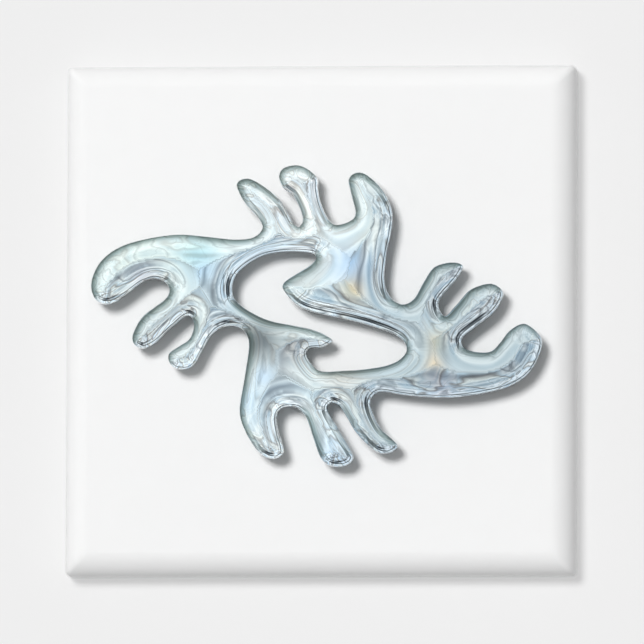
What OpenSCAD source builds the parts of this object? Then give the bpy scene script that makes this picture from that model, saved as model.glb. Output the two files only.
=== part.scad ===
// Magnetic desk sculpture: a liquid-looking cast ring with wavy fingers that stands on four
// small magnets, on a square tile whose face is a steel pan under white paper and clear film.
// The tile lies on its back, with the face up. The origin is under the middle of the back.

/* [Tile] */
// Width and length of the square tile over its film, mm
tile_w = 50.8; // [42:0.1:62]
// Height of the face above the surface the tile lies on, mm
tile_h = 5; // [4.2:0.1:6.2]
// Corner radius of the tile in plan, mm
corner_r = 0.5; // [0.3:0.1:1]
// How far the rounded edge reaches in over the face, mm
roll_w = 2.3; // [1.8:0.1:2.8]
// How far the rounded edge reaches down the side, mm
roll_h = 2.6; // [2:0.1:3]

/* [Tile layers] */
// Thickness of the clear film, mm
film_t = 0.1; // [0.08:0.01:0.15]
// Thickness of the white paper sheet, mm
sheet_t = 0.15; // [0.1:0.01:0.2]
// Thickness of the steel pan, mm
shell_t = 0.3; // [0.2:0.01:0.4]
// Height of the wrapped lower rim above the surface, mm
rim_gap = 0.3; // [0.2:0.05:0.4]
// How far the film and the sheet are tucked up inside the pan, mm
tuck_h = 1.3; // [1:0.1:1.6]

/* [Back] */
// Wall of the back pan that clamps the tuck, mm
back_wall = 1.2; // [0.9:0.1:1.5]
// Thickness of the back pan's floor, mm
back_floor = 0.8; // [0.6:0.1:1]
// Height of the back pan's wall above its floor, mm
back_rise = 0.6; // [0.4:0.1:0.8]
// Width of the pan's flat border round the magnet sheet, mm
back_border = 4; // [3:0.1:5]
// Thickness of the flexible magnet sheet on the back, mm
backing_t = 1.5; // [1.2:0.1:1.8]
// Thickness of the glue film between the magnet sheet and the pan, mm
glue_t = 0.1; // [0.05:0.01:0.15]

/* [Sculpture] */
// Width of the cast form from arm to arm, mm
form_w = 44.8; // [37:0.1:54]
// Thickness of the cast form, mm
form_t = 3; // [2.5:0.1:3.6]
// Gap between the tile's face and the cast form, mm
float_gap = 0.9; // [0.7:0.05:1.1]
// Turn of the cast form on the tile, degrees
form_turn = 0; // [-45:1:45]
// Place of the cast form's middle across the tile, mm
form_x = 0; // [-1:0.1:1]
// Place of the cast form's middle along the tile, mm
form_y = 0; // [-1:0.1:1]
// How far the cast form's rounded edges reach in, mm
edge_in = 0.5; // [0.4:0.05:0.7]
// How far the cast form's rounded edges reach along its side, mm
edge_up = 1; // [0.7:0.05:1.2]

/* [Magnets] */
// Diameter of the disc magnets, mm
magnet_d = 3; // [2.5:0.1:3.6]
// Length of the disc magnets, mm
magnet_l = 2; // [1.6:0.1:2.4]
// Thickness of the soft pads under the magnets, mm
pad_t = 0.3; // [0.2:0.05:0.4]
// Radial clearance of a magnet in its pocket, mm
pocket_gap = 0.04; // [0.02:0.01:0.1]
// Clearance above a magnet in its pocket, for its glue, mm
pocket_glue = 0.05; // [0.03:0.01:0.1]

/* [Hidden] */

// Clearance between the tuck and the back pan, and round the magnet sheet
clamp_gap = 0.05;
backing_gap = 0.3;
// Steps over the tile's rounded edge and round a corner, and facets of a full circle
roll_steps = 6;
corner_steps = 6;
round_fn = 48;
// Lower rim of the steel pan, and the top of the tuck inside it
shell_rim_z = rim_gap + film_t + sheet_t;
tuck_top = shell_rim_z + tuck_h;
// Depth of the steel pan's inside below the tile's skin, and its plan width
inner_depth = film_t + sheet_t + shell_t;
shell_inner_w = tile_w - 2 * inner_depth;
// Plan width of the tuck over the sheet, over the film and inside, clear of the pan's roll
tuck_sheet_w = shell_inner_w - 2 * roll_inset(tuck_top);
tuck_film_w = tuck_sheet_w - 2 * sheet_t;
tuck_inner_w = tuck_film_w - 2 * film_t;
// The back pan's levels
back_w = tuck_inner_w - 2 * clamp_gap;
recess_top = backing_t + glue_t;
back_floor_top = recess_top + back_floor;
back_top = back_floor_top + back_rise;
// Width of the back pan above the tuck, clear of the steel pan's roll
rise_w = min(back_w, shell_inner_w - 2 * roll_inset(back_top) - 2 * clamp_gap);
recess_w = back_w - 2 * back_border;
backing_w = recess_w - 2 * backing_gap;
// How far a cutting solid reaches past the face that it cuts
cut_over = 1;

// The cast form's levels
form_z = tile_h + float_gap;
magnet_z = tile_h + pad_t;
pocket_depth = magnet_z + magnet_l + pocket_glue - form_z;
// Plan clearance from a pad's edge to the edge of its magnet
pad_margin = 0.1;
pad_d = magnet_d - 2 * pad_margin;

// The cast form's outline, clockwise from the left arm, in millimetres about its middle when
// the form is drawn_w wide. A closed smooth curve runs through the points.
drawn_w = 44.8;
left_arm = [
    [-22.4, 2.9], [-22.2, 4.2], [-21.4, 5.6], [-19.9, 6.8], [-17.7, 7.6], [-13.6, 8.2],
    [-8.4, 7.7], [-6.6, 7.8]
];
top_finger_1 = [
    [-5.8, 8.2], [-5.4, 8.9], [-6, 10], [-7.1, 11.2], [-8, 13.1], [-7.6, 13.6], [-6.6, 13.7],
    [-3.6, 11.5], [-2.4, 9.4], [-1.8, 8.9]
];
top_finger_2 = [
    [-1.4, 9.6], [-2.4, 12], [-3.3, 12.7], [-3.8, 13.9], [-3.4, 14.7], [-1.7, 15], [0, 13.8],
    [0.1, 12.8], [0.3, 11.6], [1.2, 9.6], [1.9, 9.1], [3.6, 9.7]
];
top_finger_3 = [
    [3.8, 10.4], [3.1, 13.5], [3.5, 14.1], [4.2, 14.3], [5, 14], [6.8, 12.1], [7.5, 9.8],
    [7, 6.6], [6.7, 3.9], [6.9, 2.7], [7.5, 1.7], [8.4, 1.2], [9.1, 1.3], [9.8, 1.9]
];
right_finger_1 = [
    [11.6, 4.8], [13.8, 5.3], [14.5, 4.9], [13.4, 3.1], [12.1, 1.4], [12.7, 0]
];
right_finger_2 = [
    [15.1, 2.5], [17.1, 3.2], [18, 2.9], [18.5, 2.2], [17.4, 0.2], [14.5, -2.1],
    [14.4, -2.7], [14.9, -3.3], [17.3, -3.5]
];
right_arm = [
    [18.9, -1.7], [19.8, -1], [20.7, -0.8], [22.2, -2.1], [22.3, -3.1], [21.1, -5.6],
    [18.8, -7.1], [12.8, -8.1], [8, -7.7], [6.3, -7.5], [5.6, -7.9]
];
bottom_finger_1 = [
    [5.4, -8.8], [6.5, -11.2], [8.1, -12.8], [7.6, -13.4], [6.7, -13.6], [5.8, -13.3],
    [3.8, -11.3], [2.3, -8.9], [1.4, -8.6], [1.1, -9.1]
];
bottom_finger_2 = [
    [3.7, -13.9], [3.3, -14.6], [2.3, -14.9], [1.2, -14.7], [0.4, -13.9], [-1, -10],
    [-1.8, -9.1], [-2.7, -8.9], [-3.6, -9.2], [-3.9, -10]
];
bottom_finger_3 = [
    [-3.7, -11.4], [-3.2, -13.4], [-3.8, -14], [-4.7, -14], [-5.8, -13.3], [-7.4, -10.5],
    [-7.6, -9], [-6.7, -2.6], [-7.3, -1.3], [-8.5, -0.9], [-9.8, -1.3]
];
left_finger_1 = [
    [-10.7, -2.2], [-12, -4.6], [-12.7, -5.1], [-13.9, -5.1], [-14.6, -4.5], [-14.6, -3.6],
    [-12.7, -2.3], [-12.2, -1.2], [-12.3, -0.2], [-12.9, 0.1]
];
left_finger_2 = [
    [-15.9, -2.5], [-17.1, -3.1], [-18, -2.8], [-18.3, -2], [-17.2, 0.1], [-15, 1.8],
    [-14.6, 2.7], [-15.1, 3.5], [-16.2, 3.8], [-17.4, 3.4], [-19.8, 1.6], [-21, 1.3],
    [-21.9, 1.7]
];
outline = concat(
    left_arm, top_finger_1, top_finger_2, top_finger_3, right_finger_1, right_finger_2,
    right_arm, bottom_finger_1, bottom_finger_2, bottom_finger_3, left_finger_1, left_finger_2
);
// The slanting hole through the middle, counter-clockwise, with a pointed tooth from each side
hole = [
    [-8.2, 1.9], [-6, 0.2], [-4.2, -0.5], [-0.4, -1.3], [1.6, -2.4], [0.4, -3.1],
    [-0.7, -3.2], [-1, -3.6], [0.2, -5.3], [2.1, -5.4], [6.4, -5], [8.1, -4.4], [8.9, -3.5],
    [8.7, -2.6], [7.7, -1.8], [3.8, -0.5], [-0.5, 0.5], [-2, 1.2], [-3.4, 2.9], [-3.1, 3.5],
    [-0.9, 4.9], [-0.1, 5.7], [-0.3, 6.2], [-4.9, 6.2], [-7.4, 4.8], [-8.2, 3.7]
];
// Two cuts from the outline to the hole, which split the form's flat faces into two halves
left_cut = [[-6.7, -2.6], [-4.2, -0.5]];
right_cut = [[7.5, 1.7], [3.8, -0.5]];
// Places of the four magnets, in the outline's own millimetres
top_palm = [3.6, 4.6];
bottom_palm = [-4.2, -6];
left_arm_spot = [-12.4, 5];
right_arm_spot = [12.4, -5];
// Points on the curve from one outline point to the next
span_steps = 2;
// How many points to either side a tight bend is looked for, the share of its radius that the
// outline may move in there, and how much more it may move for each mm away from the bend
bend_reach = 4;
bend_share = 0.4;
bend_growth = 0.2;
// A turn too slight to count as a bend
straight = 0.0001;

// The point a share f of the way from p to q
function between(p, q, f) = p + (q - p) * f;

// How far the steel pan's rounded edge, with its steps, reaches in on its inside at height z
function roll_inset(z) =
    let (
        rise = max(0, 1 - (tile_h - inner_depth - z) / (roll_h - inner_depth)),
        step = 90 / roll_steps,
        low = step * floor(asin(rise) / step),
        high = low + step,
        share = (rise - sin(low)) / (sin(high) - sin(low))
    )
    (roll_w - inner_depth) * (1 - between(cos(low), cos(high), share));

// A point on the smooth curve between b and c, where u runs from 0 to 1
function span_point(a, b, c, d, u) =
    let (
        t1 = sqrt(norm(b - a)),
        t2 = t1 + sqrt(norm(c - b)),
        t3 = t2 + sqrt(norm(d - c)),
        t = between(t1, t2, u),
        ab = between(a, b, t / t1),
        bc = between(b, c, u),
        cd = between(c, d, (t - t2) / (t3 - t2)),
        abc = between(ab, bc, t / t2),
        bcd = between(bc, cd, (t - t1) / (t3 - t1))
    )
    between(abc, bcd, u);

// A closed smooth curve through the points, scaled to the form's width
function smooth_loop(points) =
    let (n = len(points))
    [
        for (i = [0:n - 1], k = [0:span_steps - 1])
            span_point(
                points[(i + n - 1) % n], points[i], points[(i + 1) % n], points[(i + 2) % n],
                k / span_steps
            ) * form_w / drawn_w
    ];

// Radius of the bend at b, and how it turns: positive where the curve turns right
function bend_radius(a, b, c) =
    let (turn = (b - a)[1] * (c - b)[0] - (b - a)[0] * (c - b)[1])
    norm(b - a) * norm(c - b) * norm(c - a) / (2 * (abs(turn) < straight ? straight : turn));

// How far each point of a loop can move to its right before neighbouring points would cross
function room_in(loop) =
    let (
        n = len(loop),
        bends = [
            for (i = [0:n - 1]) bend_radius(loop[(i + n - 1) % n], loop[i], loop[(i + 1) % n])
        ]
    )
    [
        for (i = [0:n - 1])
            min([
                for (k = [i + n - bend_reach:i + n + bend_reach])
                    (bends[k % n] > 0 ? bend_share * bends[k % n] : form_t)
                        + bend_growth * norm(loop[k % n] - loop[i])
            ])
    ];

// The loop moved to its right, into the metal, or less where it bends too tightly for that
function moved_in(loop, distance) =
    let (
        n = len(loop),
        room = room_in(loop)
    )
    [
        for (i = [0:n - 1])
            let (
                ahead = loop[(i + 1) % n] - loop[(i + n - 1) % n],
                along = ahead / norm(ahead)
            )
            loop[i] + [along[1], -along[0]] * min(distance, room[i])
    ];

// Where a point stands in a list of points
function place_of(points, point) = [for (i = [0:len(points) - 1]) if (points[i] == point) i][0];

// The numbers from one place in a loop of n round to another, both included
function run(first, last, n) = [for (i = [first:last + (last < first ? n : 0)]) i % n];

// The same list backwards
function backwards(list) = [for (i = [len(list) - 1:-1:0]) list[i]];

// Shares of the rounded edge's height and width at its middle levels
lower_up = 0.6;
upper_down = 0.3;
upper_in = 0.4;
// Levels of the rounded side, each a height and how far the outline has moved in
edge_levels = [
    [0, edge_in],
    [lower_up * edge_up, 0],
    [form_t - edge_up, 0],
    [form_t - upper_down * edge_up, upper_in * edge_in],
    [form_t, edge_in]
];

// All the points of a stack of loops, level by level
function stacked(loops, heights) =
    [for (k = [0:len(loops) - 1], p = loops[k]) [p[0], p[1], heights[k]]];

// The faces between the levels of a stack of loops of n points, counted from start
function side_faces(n, levels, start) = [
    for (k = [0:levels - 2], i = [0:n - 1], upper = [false, true])
        let (
            j = (i + 1) % n,
            low = start + k * n,
            high = low + n
        )
        upper ? [low + i, high + j, high + i] : [low + i, low + j, high + j]
];

// A solid with a flat floor and roof, whose side runs through a stack of clockwise loops
module lofted(loops, heights) {
    n = len(loops[0]);
    levels = len(loops);
    floor_face = [for (i = [n - 1:-1:0]) i];
    roof_face = [for (i = [0:n - 1]) (levels - 1) * n + i];
    polyhedron(
        stacked(loops, heights),
        concat([floor_face, roof_face], side_faces(n, levels, 0))
    );
}

// The same with a hole through it. Each cut is a place on the outer and on the hole's loop
module lofted_ring(outer_loops, hole_loops, heights, cuts) {
    n = len(outer_loops[0]);
    m = len(hole_loops[0]);
    levels = len(heights);
    hole_start = n * levels;
    function half_face(k, from, to) = concat(
        [for (i = run(from[0], to[0], n)) k * n + i],
        [for (i = run(to[1], from[1], m)) hole_start + k * m + i]
    );
    floor_faces = [
        backwards(half_face(0, cuts[0], cuts[1])),
        backwards(half_face(0, cuts[1], cuts[0]))
    ];
    roof_faces = [
        half_face(levels - 1, cuts[0], cuts[1]),
        half_face(levels - 1, cuts[1], cuts[0])
    ];
    polyhedron(
        concat(stacked(outer_loops, heights), stacked(hole_loops, heights)),
        concat(
            floor_faces, roof_faces,
            side_faces(n, levels, 0), side_faces(m, levels, hole_start)
        )
    );
}

// A square plate with round corners, standing on z
module plate(width, z, height) {
    reach = width / 2 - corner_r;
    translate([0, 0, z])
        linear_extrude(height) {
            square([width, 2 * reach], center = true);
            square([2 * reach, width], center = true);
            for (x = [-reach, reach], y = [-reach, reach])
                translate([x, y]) circle(corner_r, $fn = round_fn);
        }
}

// Outline of a square with round corners, clockwise
function square_loop(width) = [
    for (corner = [0:3], k = [0:corner_steps])
        let (
            turn = 90 - 90 * corner,
            angle = turn - 90 * k / corner_steps,
            reach = width / 2 - corner_r,
            out = turn - 45
        )
        [sign(cos(out)) * reach, sign(sin(out)) * reach] + corner_r * [cos(angle), sin(angle)]
];

// A square tile blank with a rounded upper edge, from floor_z up to top_z
module tile_blank(width, floor_z, top_z, edge_w, edge_h) {
    angles = [for (k = [0:roll_steps]) 90 * k / roll_steps];
    insets = concat([0], [for (angle = angles) edge_w * (1 - cos(angle))]);
    heights = concat([floor_z], [for (angle = angles) top_z - edge_h * (1 - sin(angle))]);
    lofted([for (inset = insets) square_loop(width - 2 * inset)], heights);
}

// The tile blank as it is a depth below its outer surface
module layer_blank(depth, floor_z) {
    tile_blank(tile_w - 2 * depth, floor_z, tile_h - depth, roll_w - depth, roll_h - depth);
}

// A square tube with round corners
module square_tube(outer_w, inner_w, z, top) {
    difference() {
        plate(outer_w, z, top - z);
        plate(inner_w, z - cut_over, top - z + 2 * cut_over);
    }
}

// Puts its children where an outline point lies on the tile
module at_form_point(point) {
    translate([form_x, form_y, 0])
        rotate(form_turn)
            translate(concat(point * form_w / drawn_w, 0))
                children();
}

module film_cover() {
    color([0.93, 0.94, 0.95, 0.35])
        union() {
            difference() {
                layer_blank(0, rim_gap);
                layer_blank(film_t, rim_gap + film_t);
                plate(tuck_inner_w, rim_gap - cut_over, film_t + 2 * cut_over);
            }
            square_tube(tuck_film_w, tuck_inner_w, rim_gap, tuck_top);
        }
}

module face_sheet() {
    color([0.97, 0.97, 0.97])
        union() {
            difference() {
                layer_blank(film_t, rim_gap + film_t);
                layer_blank(film_t + sheet_t, shell_rim_z);
                plate(tuck_film_w, rim_gap - cut_over, film_t + sheet_t + 2 * cut_over);
            }
            square_tube(tuck_sheet_w, tuck_film_w, rim_gap + film_t, tuck_top);
        }
}

module steel_shell() {
    color([0.72, 0.73, 0.75])
        difference() {
            layer_blank(film_t + sheet_t, shell_rim_z);
            layer_blank(inner_depth, shell_rim_z - cut_over);
        }
}

module back_pan() {
    color([0.82, 0.82, 0.84])
        difference() {
            union() {
                plate(back_w, rim_gap, min(tuck_top, back_top) - rim_gap);
                plate(rise_w, rim_gap, back_top - rim_gap);
            }
            plate(recess_w, rim_gap - cut_over, recess_top - rim_gap + cut_over);
            plate(back_w - 2 * back_wall, back_floor_top, back_top);
        }
}

module glue_film() {
    color([0.9, 0.88, 0.78])
        plate(backing_w, backing_t, glue_t);
}

module magnet_sheet() {
    color([0.16, 0.15, 0.15])
        plate(backing_w, 0, backing_t);
}

module magnet(point) {
    color([0.78, 0.79, 0.8])
        at_form_point(point)
            translate([0, 0, magnet_z])
                cylinder(d = magnet_d, h = magnet_l, $fn = round_fn);
}

module pad(point) {
    color([0.2, 0.2, 0.21])
        at_form_point(point)
            translate([0, 0, tile_h])
                cylinder(d = pad_d, h = pad_t, $fn = round_fn);
}

module sculpture_casting() {
    outer_loop = smooth_loop(outline);
    hole_loop = smooth_loop(hole);
    cuts = [
        for (cut = [left_cut, right_cut])
            span_steps * [place_of(outline, cut[0]), place_of(hole, cut[1])]
    ];
    color([0.72, 0.8, 0.84])
        difference() {
            at_form_point([0, 0])
                translate([0, 0, form_z])
                    resize([form_w, 0, 0], auto = [true, true, false])
                        lofted_ring(
                            [for (level = edge_levels) moved_in(outer_loop, level[1])],
                            [for (level = edge_levels) moved_in(hole_loop, level[1])],
                            [for (level = edge_levels) level[0]],
                            cuts
                        );
            for (point = [top_palm, bottom_palm, left_arm_spot, right_arm_spot])
                at_form_point(point)
                    translate([0, 0, form_z - cut_over])
                        cylinder(
                            d = magnet_d + 2 * pocket_gap, h = pocket_depth + cut_over, $fn = round_fn
                        );
        }
}

film_cover();
face_sheet();
steel_shell();
back_pan();
glue_film();
magnet_sheet();
sculpture_casting();
magnet(top_palm);  // magnet_top_palm
magnet(bottom_palm);  // magnet_bottom_palm
magnet(left_arm_spot);  // magnet_left_arm
magnet(right_arm_spot);  // magnet_right_arm
pad(top_palm);  // pad_top_palm
pad(bottom_palm);  // pad_bottom_palm
pad(left_arm_spot);  // pad_left_arm
pad(right_arm_spot);  // pad_right_arm
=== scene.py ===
"""Looks of the magnetic desk sculpture: a liquid-chrome form on small magnets over a white tile.

Lengths inside the shape functions are millimetres; meshes are turned into metres when they are made.
"""
import math

import bmesh
import bpy
import numpy as np
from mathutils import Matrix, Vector, geometry, kdtree


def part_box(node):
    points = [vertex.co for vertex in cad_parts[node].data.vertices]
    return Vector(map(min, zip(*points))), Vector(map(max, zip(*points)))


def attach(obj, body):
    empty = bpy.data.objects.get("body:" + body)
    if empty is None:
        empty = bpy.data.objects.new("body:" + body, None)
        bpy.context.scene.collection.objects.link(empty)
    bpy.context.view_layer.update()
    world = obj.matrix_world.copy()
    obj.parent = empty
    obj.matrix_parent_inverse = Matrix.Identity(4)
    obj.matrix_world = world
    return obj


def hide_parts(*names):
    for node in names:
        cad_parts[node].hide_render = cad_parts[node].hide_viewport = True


MM = 0.001

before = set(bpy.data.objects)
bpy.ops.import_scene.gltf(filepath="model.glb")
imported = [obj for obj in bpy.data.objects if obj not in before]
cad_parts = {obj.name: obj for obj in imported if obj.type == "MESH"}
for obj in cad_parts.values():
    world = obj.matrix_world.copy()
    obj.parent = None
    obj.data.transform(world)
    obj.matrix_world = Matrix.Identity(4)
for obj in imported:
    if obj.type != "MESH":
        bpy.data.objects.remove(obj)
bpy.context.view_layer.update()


# ---------------------------------------------------------------- shader helpers

class Paint:
    """One node material with a single Principled shader. Lengths in its textures are millimetres."""

    def __init__(self, name, **sockets):
        self.material = bpy.data.materials.new(name)
        self.material.use_nodes = True
        self.tree = self.material.node_tree
        self.shader = self.tree.nodes["Principled BSDF"]
        self.set(**sockets)

    def set(self, **sockets):
        """Sets uniform values on the shader's own sockets; underscores stand for spaces."""
        for name, value in sockets.items():
            self.shader.inputs[name.replace("_", " ")].default_value = value

    def node(self, kind, settings=None, **inputs):
        """Adds a node. Inputs are values, or sockets to link from."""
        return add_node(self.tree, kind, settings, **inputs)

    def link(self, socket, name):
        self.tree.links.new(socket, self.shader.inputs[name])

    def attribute(self, name, output="Fac"):
        return self.node("ShaderNodeAttribute", {"attribute_name": name}).outputs[output]

    def place(self):
        """Position on the object, in millimetres."""
        coords = self.node("ShaderNodeTexCoord").outputs["Object"]
        scaled = self.node("ShaderNodeVectorMath", {"operation": "SCALE"}, Vector=coords, Scale=1 / MM)
        return scaled.outputs[0]

    def noise(self, vector, scale, detail=3.0, distortion=0.0):
        noise = self.node(
            "ShaderNodeTexNoise", None,
            Vector=vector, Scale=scale, Detail=detail, Distortion=distortion,
        )
        return noise.outputs["Fac"]

    def ramp(self, fac, stops):
        return add_ramp(self.tree, fac, stops)

    def math(self, operation, a, b=0.0, c=0.0):
        return add_math(self.tree, operation, a, b, c)

    def mix(self, fac, a, b, blend="MIX"):
        return add_mix(self.tree, fac, a, b, blend)

    def bump(self, height, distance_mm, strength=1.0):
        bump = self.node("ShaderNodeBump", None, Height=height, Strength=strength, Distance=distance_mm * MM)
        self.link(bump.outputs["Normal"], "Normal")


def add_node(tree, kind, settings=None, **inputs):
    """Adds a node, with its settings and with its inputs as values or sockets to link from."""
    node = tree.nodes.new(kind)
    for key, value in (settings or {}).items():
        setattr(node, key, value)
    for key, value in inputs.items():
        plug(tree, node.inputs[key.replace("_", " ")], value)
    return node


def plug(tree, socket, value):
    if isinstance(value, bpy.types.NodeSocket):
        tree.links.new(value, socket)
    else:
        socket.default_value = value


def add_math(tree, operation, a, b=0.0, c=0.0):
    node = tree.nodes.new("ShaderNodeMath")
    node.operation = operation
    for socket, value in zip(node.inputs, (a, b, c)):
        plug(tree, socket, value)
    return node.outputs[0]


def add_ramp(tree, fac, stops):
    """A colour ramp; each stop is a place from 0 to 1 and a colour or a grey."""
    node = tree.nodes.new("ShaderNodeValToRGB")
    elements = node.color_ramp.elements
    while len(elements) < len(stops):
        elements.new(1.0)
    for element, (place, colour) in zip(elements, stops):
        element.position = place
        element.color = (*colour, 1.0) if isinstance(colour, tuple) else (colour, colour, colour, 1.0)
    plug(tree, node.inputs["Fac"], fac)
    return node.outputs["Color"]


def add_mix(tree, fac, a, b, blend="MIX"):
    """Mixes two colours, each a red, green and blue or a socket."""
    node = tree.nodes.new("ShaderNodeMix")
    node.data_type = "RGBA"
    node.blend_type = blend
    share, first, second = node.inputs[0], node.inputs[6], node.inputs[7]
    plug(tree, share, fac)
    for socket, value in ((first, a), (second, b)):
        plug(tree, socket, (*value, 1.0) if isinstance(value, tuple) else value)
    return node.outputs[2]


# ---------------------------------------------------------------- mesh helpers

# Edges that turn by more than this get a bevel
BEVEL_OVER_DEG = 40


def make_object(name, points_mm, faces, sharp_deg):
    """A smooth-shaded object that stays sharp where its faces meet at more than an angle."""
    mesh = bpy.data.meshes.new(name)
    mesh.from_pydata([tuple(p) for p in np.asarray(points_mm) * MM], [], faces)
    mesh.validate()
    mesh.shade_smooth()
    mesh.set_sharp_from_angle(angle=math.radians(sharp_deg))
    piece = bpy.data.objects.new(name, mesh)
    bpy.context.scene.collection.objects.link(piece)
    return piece


def paint(piece, paint_job):
    piece.data.materials.clear()
    piece.data.materials.append(paint_job.material)


def add_bevel(piece, width_mm, segments=3):
    """Breaks a CAD piece's sharp edges."""
    bevel = piece.modifiers.new("edge_break", "BEVEL")
    bevel.width = width_mm * MM
    bevel.segments = segments
    bevel.limit_method = "ANGLE"
    bevel.angle_limit = math.radians(BEVEL_OVER_DEG)


def box_mm(node):
    """Lowest and highest corner of a CAD node, in millimetres."""
    low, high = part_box(node)
    return np.array(low) / MM, np.array(high) / MM


# ---------------------------------------------------------------- the tile's wrapped skins

# The part's own sizes: the rolled edge, the corners, the layers and how far they are tucked up inside
ROLL_W = 2.3
ROLL_H = 2.6
CORNER_R = 0.5
FILM_T = 0.1
SHEET_T = 0.15
SHELL_T = 0.3
TUCK_H = 1.3
# Air that keeps the film, the paper and the shell from sharing a face
SKIN_GAP = 0.015
# How much of the roll's drop is a plain slope, which leaves a faint crease round the flat face
ROLL_CREASE = 0.1
# Fillet of a skin's folded rim, as a share of the skin's thickness
RIM_FILLET = 0.25
ROLL_STEPS = 24
CORNER_STEPS = 12


def square_loop(width):
    """Outline of a square with round corners, clockwise, the same number of points at any width."""
    reach = width / 2 - CORNER_R
    points = []
    for corner in range(4):
        turn = 90 - 90 * corner
        out = math.radians(turn - 45)
        centre = np.array([math.copysign(reach, math.cos(out)), math.copysign(reach, math.sin(out))])
        for k in range(CORNER_STEPS + 1):
            angle = math.radians(turn - 90 * k / CORNER_STEPS)
            points.append(centre + CORNER_R * np.array([math.cos(angle), math.sin(angle)]))
    return points


def roll_profile(depth, top):
    """Inset and height of the rolled edge, from the face out to the side, a depth below the skin."""
    profile = []
    for k in range(ROLL_STEPS, -1, -1):
        angle = math.radians(90 * k / ROLL_STEPS)
        out = math.cos(angle)
        drop = (1 - ROLL_CREASE) * (1 - math.sin(angle)) + ROLL_CREASE * out
        profile.append((depth + (ROLL_W - depth) * (1 - out), top - depth - (ROLL_H - depth) * drop))
    return profile


def wrapped_skin(name, node, depth, thickness, tuck_depth):
    """A skin over the face, round the lower rim and up inside: one closed lofted solid.

    depth is how far it lies under the film's outside, and tuck_depth how far in its tuck reaches.
    """
    low, high = box_mm(node)
    width, rim, top = high[0] - low[0] + 2 * depth, low[2], high[2] + depth
    tuck_top = rim + FILM_T + SHEET_T - depth + TUCK_H
    fillet = RIM_FILLET * thickness
    profile = roll_profile(depth, top)
    profile += [(depth, rim + fillet), (depth + fillet, rim), (tuck_depth - fillet, rim)]
    profile += [(tuck_depth, rim + fillet), (tuck_depth, tuck_top)]
    profile += [(tuck_depth - thickness, tuck_top), (tuck_depth - thickness, rim + thickness)]
    profile += [(depth + thickness, rim + thickness)]
    profile += roll_profile(depth + thickness, top)[::-1]
    loops = [[(*p, z) for p in square_loop(width - 2 * inset)] for inset, z in profile]
    n = len(loops[0])
    points = [point for loop in loops for point in loop]
    faces = [tuple(range(n - 1, -1, -1)), tuple((len(loops) - 1) * n + i for i in range(n))]
    for k in range(len(loops) - 1):
        for i in range(n):
            j = (i + 1) % n
            faces.append((k * n + i, k * n + j, (k + 1) * n + j, (k + 1) * n + i))
    piece = make_object(name, points, faces, sharp_deg=35)
    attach(piece, "base")
    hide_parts(node)
    return piece


# ---------------------------------------------------------------- the cast form's edge

# Distance between points along the edge, and the least distance between the CAD points it is read from
EDGE_SPACING = 0.13
CAD_POINT_GAP = 0.04
# How far under the top of the CAD form's upright side it is read
CUT_UNDER = 0.004
# Half the length of edge over which a finger's tip turns. The bend in radians where a tip starts to
# count, and how much more bend makes it count in full
TIP_SPAN = 0.9
TIP_BEND = 0.7
TIP_BEND_SPAN = 1.2
# How much nearer to the edge than its depth a ring's point may lie before it is dropped
RING_SLACK = 0.02


def section_loops(mesh_object, z):
    """Closed outlines of a mesh cut at a height, as arrays of points in millimetres."""
    bm = bmesh.new()
    bm.from_mesh(mesh_object.data)
    bmesh.ops.remove_doubles(bm, verts=bm.verts, dist=1e-7)
    everything = bm.verts[:] + bm.edges[:] + bm.faces[:]
    cut = bmesh.ops.bisect_plane(bm, geom=everything, plane_co=(0, 0, z * MM), plane_no=(0, 0, 1))
    edges = [e for e in cut["geom_cut"] if isinstance(e, bmesh.types.BMEdge)]
    neighbours = {}
    for edge in edges:
        a, b = edge.verts
        neighbours.setdefault(a, []).append(b)
        neighbours.setdefault(b, []).append(a)
    loops, seen = [], set()
    for start in neighbours:
        if start in seen:
            continue
        loop, here, last = [], start, None
        while here is not None and here not in seen:
            seen.add(here)
            loop.append((here.co.x / MM, here.co.y / MM))
            onward = [v for v in neighbours[here] if v is not last and v not in seen]
            last, here = here, onward[0] if onward else None
        loops.append(np.array(loop))
    bm.free()
    return loops


def without_close_points(loop, gap):
    """The loop without the points that lie within a gap of the last one kept."""
    keep = [loop[0]]
    for p in loop[1:]:
        if np.linalg.norm(p - keep[-1]) > gap:
            keep.append(p)
    if np.linalg.norm(keep[0] - keep[-1]) <= gap:
        keep.pop()
    return np.array(keep)


def smooth_closed(points, spacing):
    """Points a spacing apart on the closed centripetal Catmull-Rom curve through the points."""
    n = len(points)
    out = []
    for i in range(n):
        a, b, c, d = points[i - 1], points[i], points[(i + 1) % n], points[(i + 2) % n]
        t1 = math.sqrt(np.linalg.norm(b - a))
        t2 = t1 + math.sqrt(np.linalg.norm(c - b))
        t3 = t2 + math.sqrt(np.linalg.norm(d - c))
        count = max(1, round(np.linalg.norm(c - b) / spacing))
        for k in range(count):
            t = t1 + (t2 - t1) * k / count
            ab = a + (b - a) * t / t1
            bc = b + (c - b) * (t - t1) / (t2 - t1)
            cd = c + (d - c) * (t - t2) / (t3 - t2)
            abc = ab + (bc - ab) * t / t2
            bcd = bc + (cd - bc) * (t - t1) / (t3 - t1)
            out.append(abc + (bcd - abc) * (t - t1) / (t2 - t1))
    return np.array(out)


def signed_area(loop):
    """Area of a closed loop, positive when it runs counter-clockwise."""
    x, y = loop[:, 0], loop[:, 1]
    return 0.5 * np.sum(x * np.roll(y, -1) - np.roll(x, -1) * y)


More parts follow.
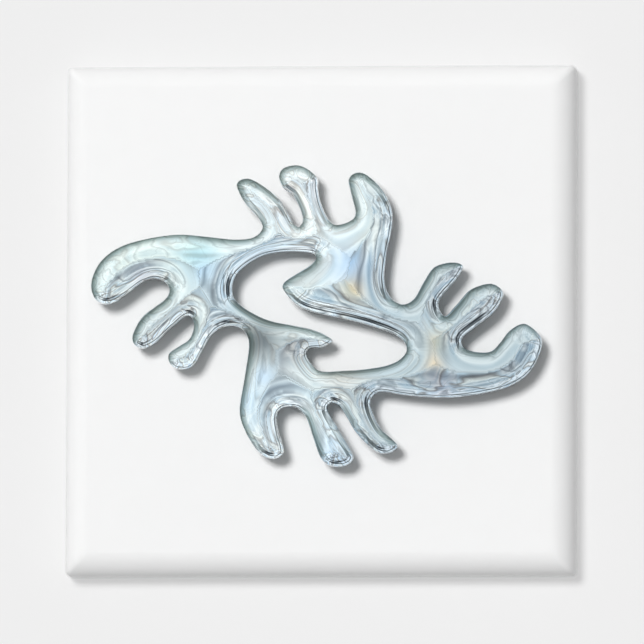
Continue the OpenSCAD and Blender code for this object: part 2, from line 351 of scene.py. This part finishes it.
class Edge:
    """The form's outline and hole, each with the metal on its right, and how far points are from them."""

    def __init__(self, outer, hole):
        outer = outer if signed_area(outer) < 0 else outer[::-1]
        hole = hole if signed_area(hole) > 0 else hole[::-1]
        self.loops = [outer, hole]
        self.points = np.vstack(self.loops)
        self.next = np.concatenate([
            np.roll(np.arange(len(outer)), -1),
            np.roll(np.arange(len(hole)), -1) + len(outer),
        ])
        self.before = np.argsort(self.next)
        self.tree = kdtree.KDTree(len(self.points))
        for i, (x, y) in enumerate(self.points):
            self.tree.insert((x, y, 0), i)
        self.tree.balance()

    def nearest(self, points):
        """Number of the edge point nearest to each point."""
        return np.array([self.tree.find((x, y, 0))[1] for x, y in points])

    def measure(self, points):
        """Distance inside the metal (negative outside), and the way from each point to the edge."""
        near = self.nearest(points)
        best = np.full(len(points), np.inf)
        inside = np.zeros(len(points), bool)
        way = np.zeros((len(points), 2))
        for first in (self.before[near], near):
            a, b = self.points[first], self.points[self.next[first]]
            ab, ap = b - a, points - a
            t = np.clip(np.sum(ap * ab, 1) / np.sum(ab * ab, 1), 0, 1)
            gap = a + ab * t[:, None] - points
            distance = np.linalg.norm(gap, axis=1)
            better = distance < best
            best = np.where(better, distance, best)
            right = ab[:, 0] * ap[:, 1] - ab[:, 1] * ap[:, 0] < 0
            inside = np.where(better, right, inside)
            way = np.where(better[:, None], gap, way)
        length = np.maximum(np.linalg.norm(way, axis=1), 1e-9)
        return np.where(inside, best, -best), way / length[:, None]

    def normals(self):
        """Unit vectors from each edge point into the metal."""
        along = self.points[self.next] - self.points[self.before]
        along /= np.linalg.norm(along, axis=1)[:, None]
        return np.stack([along[:, 1], -along[:, 0]], axis=1)

    def tips(self):
        """How much each edge point lies on a finger's tip, from 0 to 1."""
        reach = round(TIP_SPAN / EDGE_SPACING)
        outer_count = len(self.loops[0])
        shares = []
        for own in np.split(self.normals(), [outer_count]):
            before, after = np.roll(own, reach, axis=0), np.roll(own, -reach, axis=0)
            turn = before[:, 1] * after[:, 0] - before[:, 0] * after[:, 1]
            bend = np.arctan2(turn, np.sum(before * after, axis=1))
            share = np.clip((bend - TIP_BEND) / TIP_BEND_SPAN, 0, 1)
            for _ in range(2 * reach):
                share = (np.roll(share, 1) + share + np.roll(share, -1)) / 3
            shares.append(share)
        return np.concatenate(shares)

    def rings(self, depths):
        """Points a depth inside the edge, where the metal is wide enough for them."""
        normals = self.normals()
        kept = []
        for depth in depths:
            ring = self.points + normals * depth
            distance = self.measure(ring)[0]
            kept.append(ring[distance > depth - RING_SLACK])
        return kept

    def grid(self, spacing, clear):
        """A triangular grid of points more than a distance inside the edge."""
        low, high = self.points.min(0), self.points.max(0)
        rows = np.arange(low[1], high[1], spacing * math.sqrt(3) / 2)
        row = np.arange(low[0], high[0], spacing)
        points = np.vstack([
            np.column_stack([row + (k % 2) * spacing / 2, np.full_like(row, y)])
            for k, y in enumerate(rows)
        ])
        return points[self.measure(points)[0] > clear]


def triangulate(edge, extra_points, circles=()):
    """Points and triangles that fill the metal between the edge's loops, outside the circles."""
    points = [edge.points, *circles, *extra_points]
    joins, start = [], 0
    for loop in [*edge.loops, *circles]:
        n = len(loop)
        joins += [(start + i, start + (i + 1) % n) for i in range(n)]
        start += n
    all_points = np.vstack(points)
    coords, _, faces, _, _, _ = geometry.delaunay_2d_cdt(
        [Vector(p) for p in all_points], joins, [], 0, 1e-6, False
    )
    coords = np.array([(v.x, v.y) for v in coords])
    faces = np.array([f for f in faces if len(f) == 3])
    middles = coords[faces].mean(axis=1)
    keep = edge.measure(middles)[0] > 0
    for circle in circles:
        centre, radius = circle.mean(0), np.linalg.norm(circle[0] - circle.mean(0))
        keep &= np.linalg.norm(middles - centre, axis=1) > radius
    faces = faces[keep]
    a, b, c = coords[faces[:, 0]], coords[faces[:, 1]], coords[faces[:, 2]]
    turn = (b - a)[:, 0] * (c - a)[:, 1] - (b - a)[:, 1] * (c - a)[:, 0]
    faces[turn < 0] = faces[turn < 0][:, ::-1]
    return coords, faces


# ---------------------------------------------------------------- the cast form

# Depths of the rows of points along the edge, in the upper and in the lower skin
RING_DEPTHS = [0.014, 0.035, 0.07, 0.12, 0.19, 0.27, 0.36, 0.46, 0.57, 0.69, 0.82, 0.96]
UNDER_DEPTHS = [0.02, 0.06, 0.12, 0.2, 0.3, 0.42, 0.55]
# Spacing of the grids of points inside the last rows, and their distance from those rows
GRID_SPACING = 0.2
GRID_CLEAR = 0.08
UNDER_SPACING = 0.6
UNDER_CLEAR = 0.2
# Height of the wall's top over the foot, and the room left between the crests and the CAD box
WALL_TOP = 1.5
CREST_ROOM = 0.02
# The small rounded lip on the wall, and the larger curl at the foot
LIP_WIDTH = 0.07
LIP_HEIGHT = 0.3
CURL_WIDTH = 0.55
CURL_HEIGHT = 0.95
# The liquid surface: a rise that levels off inside the lip, then a steady one
SWELL_HEIGHT = 0.61
SWELL_REACH = 0.9
SWELL_SLOPE = 0.15
# Flow ridges along the edge: height, middle and half width of their band, and the pitch
RIPPLE_HEIGHT = 0.012
RIPPLE_PLACE = 0.8
RIPPLE_SPREAD = 0.45
RIPPLE_PITCH = 0.5
# Broad dents and humps: height, and the depth at which they reach it
DENT_HEIGHT = 0.05
DENT_REACH = 1.5
# Less deep than this, the surface's heights and its normals stay as worked out
HEIGHT_KEPT = 0.3
NORMAL_KEPT = 0.8
# The way in plan that leads away from the key light
FAR_WAY = np.array([0.6, -0.8])
POCKET_GAP = 0.04
POCKET_CLEAR = 0.2
POCKET_STEPS = 48
MAGNETS = ["magnet_top_palm", "magnet_bottom_palm", "magnet_left_arm", "magnet_right_arm"]


def swell(depth):
    """Height of the liquid surface over its wall, a depth in from the edge."""
    lip = LIP_HEIGHT * np.sqrt(1 - (1 - np.clip(depth / LIP_WIDTH, 0, 1)) ** 2)
    return lip + SWELL_HEIGHT * (1 - np.exp(-depth / SWELL_REACH)) + SWELL_SLOPE * depth


def ripples(depth, way):
    """Fine flow ridges that run along the edge, strongest on the sides that face down and right."""
    facing = np.clip(0.5 + 0.7 * (way @ FAR_WAY), 0, 1)
    envelope = np.exp(-((depth - RIPPLE_PLACE) / RIPPLE_SPREAD) ** 2)
    return RIPPLE_HEIGHT * facing * envelope * np.sin(2 * math.pi * depth / RIPPLE_PITCH)


def curl(depth):
    """Height of the underside over its flat middle, and its slope, a depth in from the edge."""
    share = np.clip(1 - depth / CURL_WIDTH, 0, 1)
    drop = np.sqrt(1 - share ** 2)
    return CURL_HEIGHT * (1 - drop), CURL_HEIGHT / CURL_WIDTH * share / np.maximum(drop, 1e-3)


def slow_swells(points):
    """Broad dents and humps, as a liquid sheet has."""
    x, y = points[:, 0], points[:, 1]
    wave = np.sin(0.55 * x + 0.9 * np.sin(0.35 * y)) + np.sin(0.48 * y - 0.7 * np.sin(0.4 * x) + 1.1)
    return DENT_HEIGHT * wave


def surface(edge, points):
    """Height of the upper skin over the wall top, in millimetres."""
    depth, way = edge.measure(points)
    depth = np.maximum(depth, 0)
    return swell(depth) + ripples(depth, way) + slow_swells(points) * np.clip(depth / DENT_REACH, 0, 1)


def surface_normals(edge, points, on_edge):
    """Unit normals of the upper skin from its slope, level with the wall at the edge."""
    step = 0.01
    slope_x = surface(edge, points + [step, 0]) - surface(edge, points - [step, 0])
    slope_y = surface(edge, points + [0, step]) - surface(edge, points - [0, step])
    normals = np.column_stack([-slope_x, -slope_y, np.full(len(points), 2 * step)])
    normals /= np.linalg.norm(normals, axis=1)[:, None]
    outward = -edge.normals()
    normals[on_edge] = np.column_stack([outward, np.zeros(len(outward))])
    return normals


def relaxed(values, faces, fixed, rounds):
    """Values smoothed over a triangle mesh, with the fixed ones kept."""
    pairs = np.vstack([faces[:, [0, 1]], faces[:, [1, 2]], faces[:, [2, 0]]])
    pairs = np.vstack([pairs, pairs[:, ::-1]])
    count = np.bincount(pairs[:, 0], minlength=len(values)).clip(1)
    for _ in range(rounds):
        average = np.bincount(pairs[:, 0], weights=values[pairs[:, 1]], minlength=len(values)) / count
        values = np.where(fixed, values, 0.5 * values + 0.5 * average)
    return values


# Painted reflection in the metal's colour: paler at the left, toward the key light, and deeper at the right
PAINTED_PALE_REFLECTION = (0.87, 0.93, 0.94)
PAINTED_DEEP_REFLECTION = (0.62, 0.69, 0.73)
# Soft patches of painted reflection over it, among them a painted highlight and a dark painted reflection:
# place and reach in millimetres, colour, strength
PAINTED_REFLECTION_PATCHES = [
    ((-17.0, 6.0), 4.5, (0.86, 0.93, 0.90), 0.9),
    ((-11.6, 6.3), 2.2, (0.60, 0.85, 0.89), 0.9),
    ((-11.0, 4.4), 1.5, (0.60, 0.78, 0.96), 0.8),
    ((-17.0, 3.4), 1.2, (0.60, 0.57, 0.66), 0.6),
    # A painted highlight
    ((-2.0, 11.5), 5.0, (1.0, 1.0, 1.0), 0.95),
    ((-15.5, -1.5), 4.0, (0.74, 0.78, 0.80), 0.8),
    ((-5.0, 5.3), 2.6, (0.58, 0.68, 0.75), 0.8),
    ((-8.6, 1.5), 2.4, (0.66, 0.76, 0.83), 0.8),
    ((3.3, 5.2), 2.2, (0.60, 0.75, 0.95), 0.9),
    ((5.8, 8.1), 2.0, (0.90, 0.95, 0.93), 0.8),
    ((3.8, 2.4), 1.2, (0.95, 0.76, 0.50), 0.9),
    ((12.2, -2.6), 1.3, (0.78, 0.66, 0.46), 0.9),
    ((11.9, -4.8), 1.1, (1.0, 0.72, 0.42), 0.9),
    ((2.5, -5.6), 2.2, (0.66, 0.60, 0.56), 0.7),
    ((12.6, -7.3), 1.4, (0.50, 0.47, 0.56), 0.7),
    ((16.5, -5.3), 4.5, (0.64, 0.70, 0.73), 0.9),
    ((12.5, 3.2), 3.0, (0.68, 0.73, 0.75), 0.9),
    ((17.5, 1.5), 2.5, (0.70, 0.74, 0.76), 0.8),
    # A dark painted reflection
    ((-5.6, -2.4), 2.6, (0.11, 0.12, 0.13), 0.9),
    ((-1.8, -3.2), 1.6, (0.46, 0.44, 0.43), 0.8),
    ((-3.6, -5.6), 2.6, (0.56, 0.60, 0.63), 0.6),
    ((-5.5, -6.0), 1.1, (0.62, 0.77, 0.95), 0.8),
    ((-7.1, -8.4), 1.6, (0.66, 0.80, 0.95), 0.8),
    ((-0.5, -10.5), 4.5, (0.92, 0.98, 1.0), 0.8),
    ((1.3, -13.4), 2.2, (0.74, 0.87, 1.0), 0.8),
    ((-5.0, -12.0), 1.8, (0.95, 0.98, 1.0), 0.8),
]


def painted_reflection_colours(points):
    """Painted reflection in the metal's colour at each point: paler toward the key light, deeper toward the
    right, with the painted patches over it.
    """
    across = np.clip((points[:, 0] * 0.9 - points[:, 1] * 0.25 + 1) / 9, 0, 1)[:, None]
    across = across * across * (3 - 2 * across)
    painted_reflection_tint = np.array(PAINTED_PALE_REFLECTION) * (1 - across) + np.array(PAINTED_DEEP_REFLECTION) * across
    for centre, reach, colour, strength in PAINTED_REFLECTION_PATCHES:
        away = np.linalg.norm(points - np.array(centre), axis=1) / reach
        share = (strength * np.exp(-away ** 2))[:, None]
        painted_reflection_tint = painted_reflection_tint * (1 - share) + np.array(colour) * share
    return painted_reflection_tint


# How far toward the edge the painted reflection streaks are squeezed, and how much further for each mm down
# the wall
FLOW_REACH = 9.0
FLOW_DROP = 6.0
# How much of that squeeze the painted reflection patches share
PATCH_FLOW = 0.12
# The depth at which the painted reflection lines have faded out
PAINTED_LINE_FADE_DEPTH = 2.4


def squeezed_reflection_place(points, depth, way, tip):
    """Where each point's painted reflection is taken from: squeezed toward the edge, where reflections crowd
    on the steep rim.
    """
    reach = FLOW_REACH * (1 - 0.65 * tip) * (0.3 + 0.7 * np.exp(-depth / 0.9))
    return points + way * reach[:, None]


def add_attribute(mesh, name, kind, field, values):
    layer = mesh.attributes.new(name, kind, "POINT")
    layer.data.foreach_set(field, values.astype(np.float32).ravel())


def read_edge():
    """The edge of the CAD casting at the top of its upright side, on a smooth curve."""
    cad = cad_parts["sculpture_casting"]
    # Over the upright side's top there are only the two highest levels of the rounded edge
    side_top = np.unique(np.round([v.co.z / MM for v in cad.data.vertices], 2))[-3]
    loops = [without_close_points(loop, CAD_POINT_GAP) for loop in section_loops(cad, side_top - CUT_UNDER)]
    loops.sort(key=lambda loop: -np.ptp(loop[:, 0]))
    return Edge(*[smooth_closed(loop, EDGE_SPACING) for loop in loops[:2]])


def unit_rows(vectors):
    return vectors / np.linalg.norm(vectors, axis=1)[:, None]


def upper_skin(edge, foot, top):
    """Points, triangles and normals of the liquid surface, from the edge over the crests."""
    grid = edge.grid(GRID_SPACING, RING_DEPTHS[-1] + GRID_CLEAR)
    coords, faces = triangulate(edge, [*edge.rings(RING_DEPTHS), grid])
    depth = np.maximum(edge.measure(coords)[0], 0)
    height = relaxed(surface(edge, coords), faces, depth < HEIGHT_KEPT, 2)
    room = top - foot - WALL_TOP - CREST_ROOM
    height = foot + WALL_TOP + height * min(1, room / height.max())
    normals = surface_normals(edge, coords, depth < 1e-4)
    normals = np.column_stack([relaxed(normals[:, k], faces, depth < NORMAL_KEPT, 1) for k in range(3)])
    return np.column_stack([coords, height]), faces, unit_rows(normals)


def pockets():
    """The rim circle and the ceiling height of the pocket for each magnet."""
    circles, ceilings = [], []
    for name in MAGNETS:
        low, high = box_mm(name)
        radius = (high - low)[0] / 2 + POCKET_GAP
        angles = np.arange(POCKET_STEPS) * 2 * math.pi / POCKET_STEPS
        circles.append((low + high)[:2] / 2 + radius * np.column_stack([np.cos(angles), np.sin(angles)]))
        ceilings.append(high[2] + POCKET_GAP)
    return circles, ceilings


def lower_skin(edge, foot, circles):
    """Points, triangles and normals of the underside: flat but for its curled edge and the pockets."""
    centres = np.array([circle.mean(0) for circle in circles])
    clearance = np.linalg.norm(circles[0][0] - centres[0]) + POCKET_CLEAR
    grid = edge.grid(UNDER_SPACING, UNDER_DEPTHS[-1] + UNDER_CLEAR)
    inner = np.vstack([*edge.rings(UNDER_DEPTHS), grid])
    far = np.linalg.norm(inner[:, None] - centres[None], axis=2).min(axis=1) > clearance
    coords, faces = triangulate(edge, [inner[far]], circles)
    depth, way = edge.measure(coords)
    way[:len(edge.points)] = -edge.normals()
    rise, slope = curl(np.maximum(depth, 0))
    normals = np.column_stack([way * slope[:, None], np.full(len(slope), -1.0)])
    return np.column_stack([coords, foot + rise]), faces, unit_rows(normals)


def pocket_faces(rim, ceiling):
    """A pocket's wall and ceiling, from the numbers of the first points of its rim and its ceiling."""
    faces = []
    for i in range(POCKET_STEPS):
        j = (i + 1) % POCKET_STEPS
        faces.append((rim + i, rim + j, ceiling + j, ceiling + i))
    faces.append(tuple(ceiling + i for i in range(POCKET_STEPS - 1, -1, -1)))
    return faces


def shade_first_corners(mesh, normals, corners):
    """Gives a mesh's first corners their points' own normals, and leaves the others automatic."""
    corner_points = np.zeros(len(mesh.loops), np.int32)
    mesh.loops.foreach_get("vertex_index", corner_points)
    shading = np.zeros((len(mesh.loops), 3))
    shading[:corners] = normals[corner_points[:corners]]
    mesh.normals_split_custom_set(shading.tolist())


def add_colour_attributes(mesh, edge, points, n_top, wall_top):
    """What the metal's painted reflections are worked out from, at each point of the form."""
    plan = points[:, :2]
    depth, way = edge.measure(plan)
    depth = np.maximum(depth, 0)
    n_edge = len(edge.points)
    way[:n_edge] = way[n_top:n_top + n_edge] = -edge.normals()
    tip = edge.tips()[edge.nearest(plan)]
    below = np.clip(wall_top - points[:, 2], 0, None)
    flow = squeezed_reflection_place(plan, depth, way, tip) + way * (FLOW_DROP * below)[:, None]
    painted_tints = painted_reflection_colours(flow * PATCH_FLOW + plan * (1 - PATCH_FLOW))
    # The painted reflection lines fade at the finger tips and deeper in
    painted_line_fade = np.clip(0.7 * tip + 0.65 * np.clip(depth / PAINTED_LINE_FADE_DEPTH, 0, 1), 0, 1)
    add_attribute(mesh, "flow", "FLOAT_VECTOR", "vector", np.column_stack([flow, points[:, 2]]))
    add_attribute(mesh, "painted_reflection_tint", "FLOAT_COLOR", "color", np.column_stack([painted_tints, np.ones(len(points))]))
    add_attribute(mesh, "far_side", "FLOAT", "value", way @ FAR_WAY)
    add_attribute(mesh, "painted_line_fade", "FLOAT", "value", painted_line_fade)


def build_casting():
    """The upper skin, the lower skin and the wall between their edges, with the magnets' pockets."""
    low, high = box_mm("sculpture_casting")
    foot, top = low[2], high[2]
    edge = read_edge()
    circles, ceilings = pockets()
    top_points, top_faces, top_normals = upper_skin(edge, foot, top)
    low_points, low_faces, low_normals = lower_skin(edge, foot, circles)

    n_top = len(top_points)
    faces = [tuple(face) for face in top_faces] + [tuple(face[::-1] + n_top) for face in low_faces]
    faces += [(a, b, b + n_top, a + n_top) for a, b in enumerate(edge.next.tolist())]
    smooth_corners = sum(len(face) for face in faces)
    points = [top_points, low_points]
    rim, ceiling = n_top + len(edge.points), n_top + len(low_points)
    for circle, height in zip(circles, ceilings):
        points.append(np.column_stack([circle, np.full(POCKET_STEPS, height)]))
        faces += pocket_faces(rim, ceiling)
        rim += POCKET_STEPS
        ceiling += POCKET_STEPS
    points = np.vstack(points)

    piece = make_object("liquid_form", points, faces, sharp_deg=75)
    shade_first_corners(piece.data, np.vstack([top_normals, low_normals]), smooth_corners)
    add_colour_attributes(piece.data, edge, points, n_top, foot + WALL_TOP)
    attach(piece, "sculpture")
    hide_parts("sculpture_casting")
    return piece


# ---------------------------------------------------------------- materials

def liquid_chrome():
    """Bright metal with painted reflections in its colour: tinted patches, and streaks along the form's
    edges that are stronger on the side away from the key light.
    """
    job = Paint("liquid_chrome", Metallic=1.0, Roughness=0.05)
    flow = job.attribute("flow", "Vector")
    painted_reflection_tint = job.attribute("painted_reflection_tint", "Color")
    far_side = job.math("MULTIPLY_ADD", job.attribute("far_side"), 0.5, 0.5)
    streak = job.noise(flow, 0.15, 2.0, 0.5)
    fine = job.noise(flow, 0.42, 1.0, 0.3)
    # Painted reflections: white and dark streaks along the edges
    painted_reflection_bands = job.ramp(streak, [
        (0.30, (0.66, 0.76, 0.84)), (0.38, (1.05, 1.05, 1.05)), (0.425, (0.48, 0.50, 0.52)),
        (0.455, (1.05, 1.05, 1.05)), (0.50, (0.80, 0.88, 0.94)), (0.545, (0.44, 0.42, 0.41)),
        (0.575, (1.05, 1.04, 1.0)), (0.61, (0.76, 0.82, 0.86)), (0.65, (1.0, 1.0, 1.0)),
        (0.70, (0.68, 0.76, 0.84)),
    ])
    # Thin dark painted reflection lines
    lines = job.ramp(fine, [
        (0.33, 1.0), (0.38, 0.84), (0.42, 1.04), (0.475, 1.0), (0.495, 0.66), (0.52, 1.04), (0.62, 0.86),
    ])
    # The painted streaks are stronger on the side away from the key light
    contrast = job.ramp(far_side, [(0.15, 0.45), (0.5, 0.75), (0.85, 1.0)])
    line_contrast = job.math("MULTIPLY", contrast, job.math("SUBTRACT", 1.0, job.attribute("painted_line_fade")))
    streaked = job.mix(contrast, painted_reflection_tint, job.mix(1.0, painted_reflection_tint, painted_reflection_bands, "MULTIPLY"))
    colour = job.mix(line_contrast, streaked, job.mix(1.0, streaked, lines, "MULTIPLY"))
    job.link(colour, "Base Color")
    return job


def white_paper():
    job = Paint("white_paper", Roughness=0.6)
    grain = job.noise(job.place(), 9.0, 4.0)
    job.link(job.ramp(grain, [(0.0, 0.90), (1.0, 0.93)]), "Base Color")
    job.bump(grain, 0.004, 0.3)
    return job


def clear_film():
    job = Paint("clear_film", Roughness=0.25, Alpha=0.12)
    haze = job.noise(job.place(), 0.8, 2.0)
    job.link(job.ramp(haze, [(0.0, 0.92), (1.0, 0.97)]), "Base Color")
    return job


def tinplate():
    job = Paint("tinplate", Metallic=1.0)
    rolled = job.node("ShaderNodeMapping", None, Vector=job.place(), Scale=(0.2, 6.0, 1.0)).outputs[0]
    grain = job.noise(rolled, 2.0, 4.0)
    job.link(job.ramp(grain, [(0.0, 0.62), (1.0, 0.74)]), "Base Color")
    job.link(job.ramp(grain, [(0.0, 0.25), (1.0, 0.4)]), "Roughness")
    return job


def back_plastic():
    job = Paint("back_plastic")
    grain = job.noise(job.place(), 14.0, 2.0)
    job.link(job.ramp(grain, [(0.0, 0.56), (1.0, 0.62)]), "Base Color")
    job.link(job.ramp(grain, [(0.0, 0.42), (1.0, 0.55)]), "Roughness")
    job.bump(grain, 0.01, 0.4)
    return job


def glue():
    job = Paint("glue", Roughness=0.5)
    smear = job.noise(job.place(), 0.5, 2.0)
    job.link(job.ramp(smear, [(0.0, (0.72, 0.66, 0.5)), (1.0, (0.8, 0.75, 0.6))]), "Base Color")
    return job


def flexible_magnet():
    job = Paint("flexible_magnet", Roughness=0.75)
    speck = job.noise(job.place(), 6.0, 5.0)
    job.link(job.ramp(speck, [(0.3, 0.012), (0.7, 0.03)]), "Base Color")
    job.bump(speck, 0.01, 0.6)
    return job


def nickel():
    job = Paint("nickel", Metallic=1.0)
    scuff = job.noise(job.place(), 3.0, 5.0)
    job.link(job.ramp(scuff, [(0.0, (0.66, 0.65, 0.62)), (1.0, (0.75, 0.74, 0.71))]), "Base Color")
    job.link(job.ramp(scuff, [(0.3, 0.12), (0.7, 0.24)]), "Roughness")
    return job


def pad_rubber():
    job = Paint("pad_rubber", Roughness=0.8)
    grain = job.noise(job.place(), 12.0, 3.0)
    job.link(job.ramp(grain, [(0.0, 0.02), (1.0, 0.035)]), "Base Color")
    job.bump(grain, 0.01, 0.5)
    return job


# ---------------------------------------------------------------- stage, light and camera

# Half the floor's width in metres, its grey and its own glow
FLOOR_REACH = 1.2
FLOOR_GREY = 0.4
FLOOR_GLOW = 0.44
# Strength of the white dome; the key light's strength, way and apparent size in degrees
DOME = 0.285
KEY = 2.55
KEY_WAY = Vector((0.239, -0.26, -1.0))
KEY_ANGLE = 17
# Width of the view and height of its middle, in millimetres; the camera's distance, in metres
VIEW_WIDTH = 63.9
VIEW_HEIGHT = 1.35
CAMERA_DISTANCE = 1.5
# The camera's lean from the vertical, in degrees
TILT_RIGHT = 5.1
TILT_DOWN = 5.1


def build_floor():
    mesh = bpy.data.meshes.new("floor")
    corners = [(x * FLOOR_REACH, y * FLOOR_REACH, 0) for x, y in ((-1, -1), (1, -1), (1, 1), (-1, 1))]
    mesh.from_pydata(corners, [], [(0, 1, 2, 3)])
    floor = bpy.data.objects.new("floor", mesh)
    bpy.context.scene.collection.objects.link(floor)
    job = Paint("floor_paint", Roughness=0.9, Base_Color=(FLOOR_GREY, FLOOR_GREY, FLOOR_GREY, 1.0))
    job.set(Emission_Color=(1.0, 1.0, 1.0, 1.0), Emission_Strength=FLOOR_GLOW, Specular_IOR_Level=0.0)
    mesh.materials.append(job.material)


def build_world():
    """A plain white dome for the light, and a striped studio that only glossy rays see."""
    world = bpy.data.worlds.new("studio")
    bpy.context.scene.world = world
    world.use_nodes = True
    tree = world.node_tree
    tree.nodes.clear()
    direction = add_node(tree, "ShaderNodeTexCoord").outputs["Generated"]
    parts = add_node(tree, "ShaderNodeSeparateXYZ", None, Vector=direction)
    wobble = add_node(
        tree, "ShaderNodeTexNoise", None, Vector=direction, Scale=2.2, Detail=2.0, Distortion=0.6
    ).outputs["Fac"]
    waver = add_math(tree, "SUBTRACT", wobble, 0.5)
    height = add_math(tree, "MULTIPLY_ADD", waver, 0.12, parts.outputs["Z"])
    to_light = add_math(
        tree, "MULTIPLY_ADD", parts.outputs["X"], -FAR_WAY[0],
        add_math(tree, "MULTIPLY", parts.outputs["Y"], -FAR_WAY[1]),
    )
    lit_side = add_ramp(tree, height, [
        (0.0, (0.10, 0.13, 0.12)), (0.25, (0.22, 0.27, 0.26)), (0.43, (0.48, 0.56, 0.55)),
        (0.64, (0.98, 1.04, 1.03)), (0.76, (1.12, 1.18, 1.17)), (0.83, (0.90, 0.98, 0.99)),
        (0.90, (1.04, 1.10, 1.09)), (1.0, (0.86, 0.93, 0.95)),
    ])
    far_side = add_ramp(tree, height, [
        (0.30, (0.95, 1.00, 1.04)), (0.42, (1.30, 1.33, 1.35)), (0.47, (0.08, 0.09, 0.10)),
        (0.51, (0.10, 0.11, 0.12)), (0.56, (1.10, 1.14, 1.18)), (0.66, (1.25, 1.28, 1.30)),
        (0.72, (0.28, 0.27, 0.26)), (0.76, (1.10, 1.14, 1.16)), (0.84, (0.60, 0.68, 0.74)),
        (0.89, (1.02, 1.06, 1.06)), (0.935, (0.40, 0.43, 0.47)), (0.96, (0.80, 0.89, 0.94)),
        (1.0, (0.86, 0.93, 0.95)),
    ])
    side = add_ramp(tree, add_math(tree, "MULTIPLY_ADD", to_light, 0.5, 0.5), [(0.35, 0.0), (0.65, 1.0)])
    studio = add_mix(tree, side, far_side, lit_side)
    glossy = add_node(tree, "ShaderNodeLightPath").outputs["Is Glossy Ray"]
    colour = add_mix(tree, glossy, (1.0, 1.0, 1.0), studio)
    strength = add_math(tree, "MULTIPLY_ADD", glossy, 1.0 - DOME, DOME)
    background = add_node(tree, "ShaderNodeBackground", None, Color=colour, Strength=strength)
    output = tree.nodes.new("ShaderNodeOutputWorld")
    tree.links.new(background.outputs[0], output.inputs["Surface"])


def build_key():
    """A soft sun, kept out of the metal's reflections."""
    light = bpy.data.lights.new("key", "SUN")
    light.energy = KEY
    light.angle = math.radians(KEY_ANGLE)
    lamp = bpy.data.objects.new("key", light)
    lamp.rotation_euler = KEY_WAY.to_track_quat("-Z", "Y").to_euler()
    lamp.visible_glossy = False
    bpy.context.scene.collection.objects.link(lamp)


def build_camera():
    """A long lens that looks almost straight down, from a little toward the lower right."""
    camera = bpy.data.cameras.new("camera")
    camera.sensor_width = 36
    camera.lens = camera.sensor_width * CAMERA_DISTANCE / (VIEW_WIDTH * MM)
    camera.clip_start, camera.clip_end = 0.01, 10
    holder = bpy.data.objects.new("camera", camera)
    back = Vector((math.sin(math.radians(TILT_RIGHT)), -math.sin(math.radians(TILT_DOWN)), 0))
    back.z = math.sqrt(1 - back.length_squared)
    side = Vector((0, 1, 0)).cross(back).normalized()
    up = back.cross(side)
    # Half of the skew that the tilt gives the square tile, so that its sides lean by the same amount
    roll = -0.5 * back.x * back.y
    side, up = side * math.cos(roll) + up * math.sin(roll), up * math.cos(roll) - side * math.sin(roll)
    matrix = holder.matrix_world.to_3x3()
    matrix.col[0], matrix.col[1], matrix.col[2] = side, up, back
    holder.matrix_world = matrix.to_4x4()
    holder.location = Vector((0, 0, VIEW_HEIGHT * MM)) + back * CAMERA_DISTANCE
    bpy.context.scene.collection.objects.link(holder)
    bpy.context.scene.camera = holder


# ---------------------------------------------------------------- put together

bpy.context.scene.view_settings.view_transform = "Standard"
build_camera()
build_floor()
build_key()
build_world()

film = wrapped_skin("film_skin", "film_cover", 0.0, FILM_T - SKIN_GAP, 2 * FILM_T + 2 * SHEET_T + SHELL_T)
paint(film, clear_film())
sheet = wrapped_skin(
    "paper_skin", "face_sheet", FILM_T, SHEET_T - SKIN_GAP, FILM_T + 2 * SHEET_T + SHELL_T - SKIN_GAP
)
paint(sheet, white_paper())

paint(build_casting(), liquid_chrome())

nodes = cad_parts
paint(nodes["steel_shell"], tinplate())
paint(nodes["glue_film"], glue())
paint(nodes["back_pan"], back_plastic())
paint(nodes["magnet_sheet"], flexible_magnet())
add_bevel(nodes["back_pan"], 0.15)
add_bevel(nodes["magnet_sheet"], 0.15)
nickel_job, rubber_job = nickel(), pad_rubber()
for name in MAGNETS:
    paint(nodes[name], nickel_job)
    add_bevel(nodes[name], 0.12)
    pad = nodes[name.replace("magnet", "pad")]
    paint(pad, rubber_job)
    add_bevel(pad, 0.06, 2)
